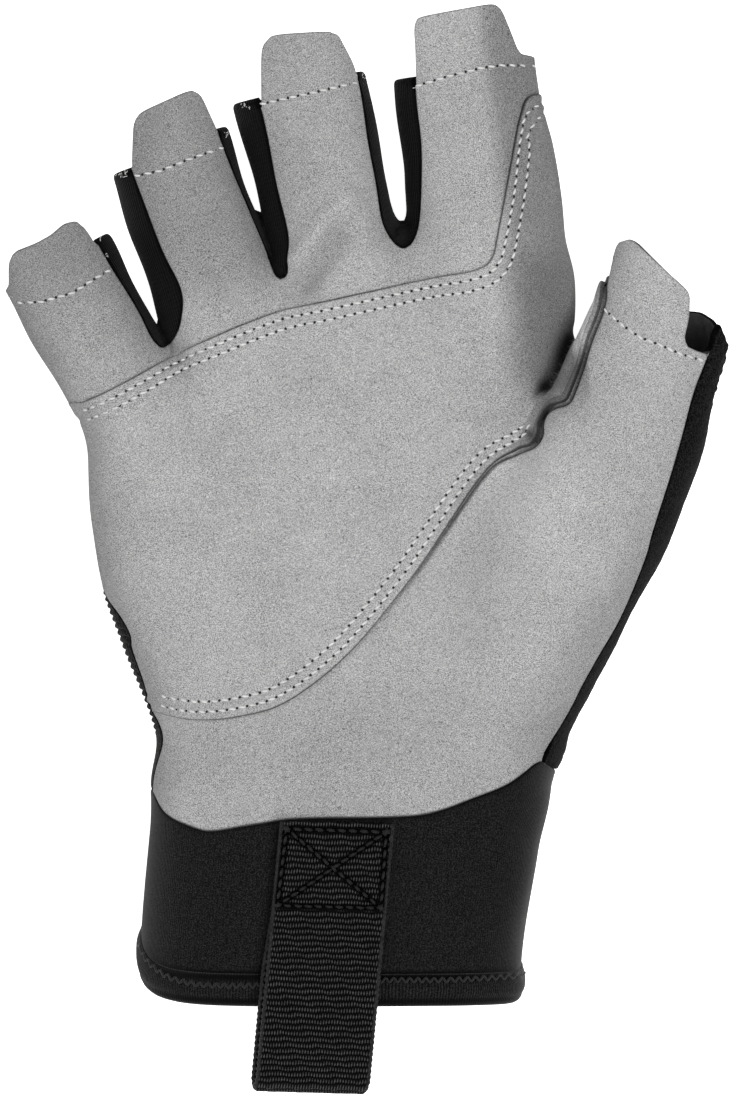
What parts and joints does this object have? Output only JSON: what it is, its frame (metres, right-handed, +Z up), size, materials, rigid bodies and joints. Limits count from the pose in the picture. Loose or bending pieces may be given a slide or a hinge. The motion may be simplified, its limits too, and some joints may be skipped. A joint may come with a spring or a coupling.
{
  "type": "half-finger climbing glove",
  "caption": "Right-hand half-finger climbing glove with a suede palm, stitched palm overlay, finger tabs, stretch cuff and webbing pull loop, lying palm up",
  "frame": {"origin": "middle of the glove's footprint on the surface that it lies on", "axes": "+X to the thumb side, +Y to the fingertips, +Z up out of the palm"},
  "size_m": [0.1372, 0.2061, 0.0486],
  "materials": {
    "grey_suede": "matt fine-napped microsuede with a mottled grain",
    "black_strip_knit": "fine ribbed stretch knit",
    "black_back_knit": "coarse ribbed knit",
    "black_suede": "matt napped suede",
    "black_stretch": "smooth knit-faced stretch foam",
    "black_webbing": "cross-ribbed woven webbing"
  },
  "bodies": {
    "root": {"finger_panel": "grey_suede", "palm_patch": "grey_suede", "thumb_panel": "grey_suede", "fourchette_little_ring": "black_strip_knit", "fourchette_ring_middle": "black_strip_knit", "fourchette_middle_index": "black_strip_knit", "back_panel": "black_back_knit", "thumb_back": "black_suede", "cuff": "black_stretch", "cuff_hem": "black_stretch", "pull_loop": "black_webbing"}
  },
  "joints": []
}
